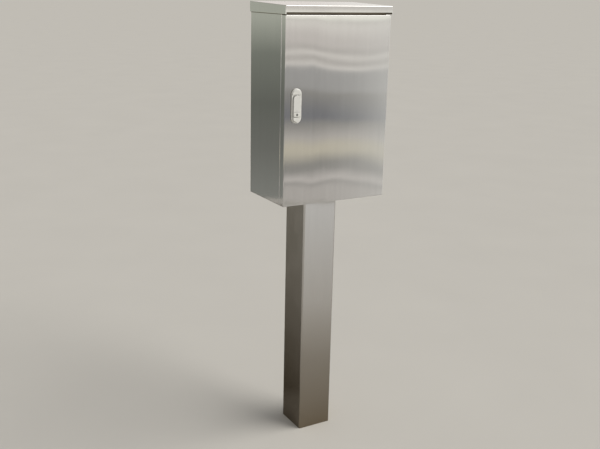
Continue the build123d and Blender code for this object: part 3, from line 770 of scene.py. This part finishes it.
class CABINET_OT_key_flap(bpy.types.Operator):
    """The sliding flap low on the lever, a dark strip in the gap over it that paints the gap's shade, and the dark plug
    of the key's hole
    """

    bl_idname = "cabinet.key_flap"
    bl_label = "Key flap"

    def execute(self, context):
        sizes = context.scene.cabinet_hardware
        lever_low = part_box("lock_lever")[0]
        base_low, base_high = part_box("lock_base")
        spindle_x = (base_low.x + base_high.x) / 2
        spindle_z = (base_low.z + base_high.z) / 2 + sizes.spindle_rise
        step_floor = lever_low.y + sizes.step_depth
        to_front = Matrix.Rotation(radians(90), 4, "X")
        flap = bmesh.new()
        reach = spindle_z - lever_low.z - sizes.step_margin - sizes.flap_gap
        bmesh.ops.create_circle(flap, cap_ends=True, segments=180, radius=reach)
        for side in (-1, 1):
            aside = Vector((side, 0, 0))
            slice_off(flap, aside * (sizes.step_width / 2 - sizes.flap_gap), aside)
        slice_off(flap, Vector((0, -sizes.step_from_spindle - sizes.finger_gap, 0)), Vector((0, 1, 0)))
        soften(flap, raised(flap, sizes.flap_thickness), sizes.flap_edge)
        place = Matrix.Translation((spindle_x, step_floor, spindle_z))
        bmesh.ops.transform(flap, matrix=place @ to_front, verts=flap.verts)
        stand_in("sliding_key_flap", flap, "off_white_moulded_plastic", "lever", "white_plastic")

        # A dark strip laid in the finger gap over the flap: painted shade for the gap.
        slit = bmesh.new()
        bmesh.ops.create_grid(slit, x_segments=1, y_segments=1, size=0.5)
        bmesh.ops.scale(slit, verts=slit.verts, vec=(sizes.step_width, sizes.finger_gap, 1))
        raised(slit, sizes.flap_thickness / 2)
        top = Matrix.Translation((0, -sizes.step_from_spindle - sizes.finger_gap / 2, 0))
        bmesh.ops.transform(slit, matrix=place @ to_front @ top, verts=slit.verts)
        stand_in("key_flap_painted_shade", slit, "dark_moulded_plastic", "lever", "dark_plastic")

        low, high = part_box("key_cover")
        radius = (high.x - low.x) / 2
        plug = bmesh.new()
        bmesh.ops.create_circle(plug, cap_ends=True, segments=32, radius=radius)
        for side in (-1, 1):
            half_round = [v for v in plug.verts if side * v.co.y > 0.001 * MM]
            bmesh.ops.translate(plug, verts=half_round, vec=(0, side * ((high.z - low.z) / 2 - radius), 0))
        soften(plug, raised(plug, high.y - lever_low.y), 2 * sizes.flap_edge)
        place = Matrix.Translation(((low.x + high.x) / 2, high.y, (low.z + high.z) / 2))
        bmesh.ops.transform(plug, matrix=place @ to_front, verts=plug.verts)
        stand_in("key_plug", plug, "dark_moulded_plastic", "lever", "dark_plastic", "key_cover")
        return {"FINISHED"}


# Welds
def weld_bead(whole, start, end, radius, ripple):
    """A rippled bead of weld from start to end, drawn in at both ends."""
    line = end - start
    cuts = int(4 * line.length / ripple)
    shape = bmesh.new()
    bmesh.ops.create_cone(shape, cap_ends=True, segments=16, radius1=radius, radius2=radius, depth=line.length)
    long = [e for e in shape.edges if e.calc_length() > line.length / 2]
    bmesh.ops.subdivide_edges(shape, edges=long, cuts=cuts)
    for vert in shape.verts:
        part = 2 * abs(vert.co.z) / line.length
        taper = sqrt(max(0.15, 1 - part ** 6))
        wave = 1 + 0.09 * sin(2 * pi * vert.co.z / ripple)
        vert.co.xy *= taper * wave
    add_shape(whole, shape, along(line.normalized(), (start + end) / 2))
    shape.free()


class CABINET_OT_welds(bpy.types.Operator):
    """Beads of weld that hold the hinge leaves, and the ground seam up the post"""

    bl_idname = "cabinet.welds"
    bl_label = "Welds"

    def execute(self, context):
        sizes = context.scene.cabinet_hardware
        for level in ("lower", "upper"):
            low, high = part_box("hinge_" + level + "_frame_leaf")
            frame_line = (low.x, high.y)
            frame_ends = (low.z, high.z - sizes.bead_length)
            low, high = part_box("hinge_" + level + "_door_leaf")
            door_line = (high.x - sizes.bead_radius / 2, high.y)
            door_ends = (low.z, high.z - sizes.bead_length)
            for body, (x, y), feet in (("cabinet", frame_line, frame_ends), ("door", door_line, door_ends)):
                whole = bmesh.new()
                for foot in feet:
                    start = Vector((x, y, foot))
                    end = start + Vector((0, 0, sizes.bead_length))
                    weld_bead(whole, start, end, sizes.bead_radius, sizes.bead_ripple)
                name = "weld_" + level + "_hinge_" + body
                stand_in(name, whole, "stainless_weld", body, "plain_stainless")

        low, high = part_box("post_tube")
        seam = bmesh.new()
        bmesh.ops.create_grid(seam, x_segments=1, y_segments=40, size=0.5)
        size = (sizes.seam_width, high.z - low.z - 2 * MM, 1)
        bmesh.ops.scale(seam, verts=seam.verts, vec=size)
        bmesh.ops.scale(seam, verts=raised(seam, sizes.seam_height), vec=(0.55, 1, 1))
        standing = Matrix.Rotation(radians(-90), 4, "X")
        middle = Matrix.Translation((0, high.y, (low.z + high.z) / 2))
        bmesh.ops.transform(seam, verts=seam.verts, matrix=middle @ standing)
        stand_in("post_seam_weld", seam, "satin_stainless_post", "cabinet", "brushed_sheet")
        return {"FINISHED"}


class CABINET_OT_spot_welds(bpy.types.Operator):
    """Spot welds along the feet of the door's rails"""

    bl_idname = "cabinet.spot_welds"
    bl_label = "Spot welds"

    def execute(self, context):
        sizes = context.scene.cabinet_hardware
        whole = bmesh.new()
        spot = bmesh.new()
        bmesh.ops.create_circle(spot, cap_ends=True, segments=20, radius=sizes.spot_radius)
        bmesh.ops.translate(spot, verts=spot.verts, vec=(0, 0, -sizes.spot_height))
        rim = bmesh.ops.extrude_face_region(spot, geom=spot.faces[:])["geom"]
        verts = [v for v in rim if isinstance(v, bmesh.types.BMVert)]
        bmesh.ops.translate(spot, verts=verts, vec=(0, 0, 2 * sizes.spot_height))
        bmesh.ops.scale(spot, verts=verts, vec=(0.86, 0.86, 1))
        top = [f for f in rim if isinstance(f, bmesh.types.BMFace)]
        bmesh.ops.inset_region(spot, faces=top, thickness=0.3 * sizes.spot_radius, depth=-0.8 * sizes.spot_height)
        for side in ("left", "right"):
            low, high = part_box("door_rail_" + side)
            count = int((high.z - low.z) / sizes.spot_pitch)
            foot_y = low.y + sizes.rail_sheet
            for x in (low.x + sizes.rail_foot / 2, high.x - sizes.rail_foot / 2):
                for k in range(count):
                    z = (low.z + high.z) / 2 + (k - (count - 1) / 2) * sizes.spot_pitch
                    add_shape(whole, spot, along(Vector((0, 1, 0)), Vector((x, foot_y, z))))
        spot.free()
        stand_in("rail_spot_welds", whole, "stainless_weld", "door", "plain_stainless")
        return {"FINISHED"}


# Studio
def plain_floor(studio):
    material, tree = new_material("plain_pale_floor")
    place = add(tree, "TexCoord").outputs["Object"]
    cloud = noise(tree, place, 0.5, 4)
    dark = tuple(c * 0.94 for c in studio.floor[:3]) + (1,)
    colour = mix(tree, cloud, dark, studio.floor)
    surface(tree, add(tree, "BsdfPrincipled", {"Base Color": colour, "Roughness": 1.0, "Specular IOR Level": 0.0}))
    return material


# What the sheet mirrors: plain tones, laid out in level bands by their height in metres
LAMP, PALE, WALL, WARM, MID, GREY, DIM, DARK = (
    "FFFFF4", "DAD6D0", "C4BFBA", "BCB6A6", "AEAAA5", "9D9C9A", "8B8985", "707176"
)
TENT_BANDS = (
    (0.00, MID),
    (0.11, MID),
    (0.138, DIM),
    (0.158, WALL),
    (0.24, DIM),
    (0.285, DIM),
    (0.38, WARM),
    (0.43, WARM),
    (0.50, MID),
    (0.605, DIM),
    (0.65, DARK),
    (0.85, DIM),
    (0.88, GREY),
    (1.03, GREY),
    (1.055, PALE),
    (1.09, MID),
    (1.105, MID),
    (1.135, PALE),
    (1.17, MID),
    (1.21, WALL),
    (1.26, WALL),
    (1.355, PALE),
    (1.375, MID),
    (1.39, LAMP),
    (1.42, LAMP),
    (1.45, WALL),
    (3.00, WALL),
)
SIDE_BANDS = (
    (0.00, "7D7E79"),
    (0.40, "6B6C67"),
    (0.75, "62645E"),
    (1.12, "757870"),
    (1.38, "A3A69B"),
    (3.00, "9FA299"),
)


def banded(tree, height, top, bands):
    """A colour by height, from tones listed by their height in metres."""
    ramp = add(tree, "ValToRGB", {"Fac": calc(tree, "DIVIDE", height, top)})
    stops = ramp.color_ramp.elements
    for level, tone in bands[1:-1]:
        stops.new(level / top).color = linear(tone)
    stops[0].color = linear(bands[0][1])
    stops[-1].color = linear(bands[-1][1])
    return ramp.outputs[0]


def tent_wall(studio):
    """The tent's inside glows in level bands: pale in front and at the right, dim at the left behind."""
    material, tree = new_material("light_tent_wall")
    place = add(tree, "TexCoord").outputs["Object"]
    part = add(tree, "SeparateXYZ", {0: place}).outputs
    bands = banded(tree, part["Z"], studio.tent_height, TENT_BANDS)
    side_bands = banded(tree, part["Z"], studio.tent_height, SIDE_BANDS)
    left_behind = add(tree, "VectorMath", {0: place, 1: (-0.5, 0.87, 0)}, operation="DOT_PRODUCT").outputs["Value"]
    side = spread(tree, left_behind, 0.6 * studio.tent_radius, 0.85 * studio.tent_radius)
    plain = spread(tree, part["X"], 0.51 * studio.tent_radius, 0.72 * studio.tent_radius, 0.0, 0.85)
    again = spread(tree, part["X"], 0.85 * studio.tent_radius, 0.97 * studio.tent_radius, 0.0, 0.5)
    plain = calc(tree, "SUBTRACT", plain, again)
    colour = mix(tree, plain, bands, linear("DADAD6"))
    colour = mix(tree, side, colour, side_bands)
    surface(tree, add(tree, "Emission", {"Color": colour, "Strength": studio.tent_strength}))
    return material


def hide_from(piece, camera=True):
    """Leaves a light or dark cloth to the reflections alone."""
    piece.visible_camera = not camera
    piece.visible_diffuse = False
    piece.visible_shadow = False
    piece.visible_transmission = False
    piece.visible_volume_scatter = False


def floor_cloth(name, size, toward, start, ramp, tones):
    """A cloth that glows softly on the floor, seen in reflections only; it fades in along its way and at its sides."""
    width, length = size
    material, tree = new_material(name)
    place = add(tree, "TexCoord").outputs["Object"]
    across = (-toward[1], toward[0], 0)
    away = add(tree, "VectorMath", {0: place, 1: toward}, operation="DOT_PRODUCT").outputs["Value"]
    aside = add(tree, "VectorMath", {0: place, 1: across}, operation="DOT_PRODUCT").outputs["Value"]
    aside = calc(tree, "ABSOLUTE", aside)
    tone = mix(tree, spread(tree, away, *ramp), linear(tones[0]), linear(tones[1]))
    glow = add(tree, "Emission", {"Color": tone, "Strength": 1.0})
    clear = add(tree, "BsdfTransparent")
    edge = calc(tree, "MAXIMUM", spread(tree, aside, width / 6, width / 2), spread(tree, away, start[1], start[0]))
    surface(tree, add(tree, "MixShader", {0: edge, 1: glow.outputs[0], 2: clear.outputs[0]}))
    shape = bmesh.new()
    bmesh.ops.create_grid(shape, x_segments=1, y_segments=1, size=0.5)
    bmesh.ops.scale(shape, verts=shape.verts, vec=(width, length, 1))
    bmesh.ops.translate(shape, verts=shape.verts, vec=(0, length / 2, MM))
    turn = Matrix.Rotation(atan2(-toward[0], toward[1]), 3, "Z")
    bmesh.ops.rotate(shape, verts=shape.verts, matrix=turn)
    cloth = new_piece(name, shape, material)
    hide_from(cloth)
    return cloth


class CABINET_OT_stage(bpy.types.Operator):
    """Set the floor, the light tent, the soft lamp and the camera"""

    bl_idname = "cabinet.stage"
    bl_label = "Stage"

    def execute(self, context):
        scene = context.scene
        studio = scene.cabinet_studio

        shape = bmesh.new()
        bmesh.ops.create_grid(shape, x_segments=8, y_segments=8, size=studio.floor_reach)
        bmesh.ops.translate(shape, verts=shape.verts, vec=(0, 0, -0.2 * MM))
        floor = new_piece("floor", shape, plain_floor(studio))

        shape = bmesh.new()
        bmesh.ops.create_circle(shape, segments=96, radius=studio.tent_radius)
        rim = bmesh.ops.extrude_edge_only(shape, edges=shape.edges)["geom"]
        top = [v for v in rim if isinstance(v, bmesh.types.BMVert)]
        bmesh.ops.translate(shape, verts=top, vec=(0, 0, studio.tent_height))
        tent = new_piece("light_tent", shape, tent_wall(studio))
        hide_from(tent)

        dark = floor_cloth("dark_cloth", studio.dark_cloth, (-0.5, 0.87, 0), (0, 0.3), (0.2, 1.8), ("544D42", "686256"))
        pale = floor_cloth("pale_cloth", studio.pale_cloth, (0.516, -0.857, 0), (0.6, 1.3), (1, 3), ("DCD9D3", "E2E0DC"))

        lamp = bpy.data.lights.new("soft_sun", "SUN")
        lamp.energy = studio.sun_strength
        lamp.angle = studio.sun_size
        lamp.color = (1.0, 0.985, 0.96)
        sun = bpy.data.objects.new("soft_sun", lamp)
        scene.collection.objects.link(sun)
        toward = Vector((0.72, -0.50, 0.56))
        sun.rotation_euler = toward.to_track_quat("Z", "Y").to_euler()

        world = bpy.data.worlds.new("even_sky")
        world.use_nodes = True
        tree = world.node_tree
        tree.nodes.clear()
        sky = add(tree, "Background", {"Color": studio.sky, "Strength": studio.sky_strength})
        far = add(tree, "Background", {"Color": studio.backdrop, "Strength": 1.0})
        ray = add(tree, "LightPath").outputs
        seen = calc(tree, "MAXIMUM", ray["Is Camera Ray"], ray["Is Glossy Ray"])
        seen = calc(tree, "MAXIMUM", seen, ray["Is Transmission Ray"])
        both = add(tree, "MixShader", {0: seen, 1: sky.outputs[0], 2: far.outputs[0]})
        add(tree, "OutputWorld", {"Surface": both.outputs[0]})
        scene.world = world

        level = Vector((sin(studio.heading), cos(studio.heading), 0))
        right = Vector((cos(studio.heading), -sin(studio.heading), 0))
        forward = level * cos(studio.dip) - Vector((0, 0, sin(studio.dip)))
        up = right.cross(forward)
        turned_right = right * cos(studio.roll) + up * sin(studio.roll)
        turned_up = up * cos(studio.roll) - right * sin(studio.roll)
        turn = Matrix((turned_right, turned_up, -forward)).transposed()
        view = bpy.data.cameras.new("camera")
        view.sensor_width = 36
        view.lens = studio.lens
        camera = bpy.data.objects.new("camera", view)
        camera.matrix_world = Matrix.Translation(studio.camera_place) @ turn.to_4x4()
        scene.collection.objects.link(camera)
        scene.camera = camera
        scene.view_settings.view_transform = "Standard"
        return {"FINISHED"}


class CABINET_PT_panel(bpy.types.Panel):
    """Lists the pieces in the order they are made"""

    bl_label = "Cabinet"
    bl_idname = "CABINET_PT_panel"
    bl_space_type = "VIEW_3D"
    bl_region_type = "UI"
    bl_category = "Cabinet"

    def draw(self, context):
        for operator in OPERATORS:
            self.layout.operator(operator.bl_idname)
        for label, kind in GROUPS.items():
            box = self.layout.box()
            for name in kind.__annotations__:
                box.prop(getattr(context.scene, label), name)


OPERATORS = (
    CABINET_OT_stage,
    CABINET_OT_finishes,
    CABINET_OT_studs,
    CABINET_OT_nuts,
    CABINET_OT_bolts,
    CABINET_OT_button_spring,
    CABINET_OT_key_flap,
    CABINET_OT_welds,
    CABINET_OT_spot_welds,
)
GROUPS = {
    "cabinet_finish": CabinetFinish,
    "cabinet_hardware": CabinetHardware,
    "cabinet_studio": CabinetStudio,
}
CLASSES = (*GROUPS.values(), *OPERATORS, CABINET_PT_panel)


def register():
    for each in CLASSES:
        bpy.utils.register_class(each)
    for label, kind in GROUPS.items():
        setattr(bpy.types.Scene, label, PointerProperty(type=kind))


def unregister():
    for label in GROUPS:
        delattr(bpy.types.Scene, label)
    for each in reversed(CLASSES):
        bpy.utils.unregister_class(each)


def main():
    register()
    for operator in OPERATORS:
        family, name = operator.bl_idname.split(".")
        getattr(getattr(bpy.ops, family), name)()


if __name__ == "__main__":
    main()
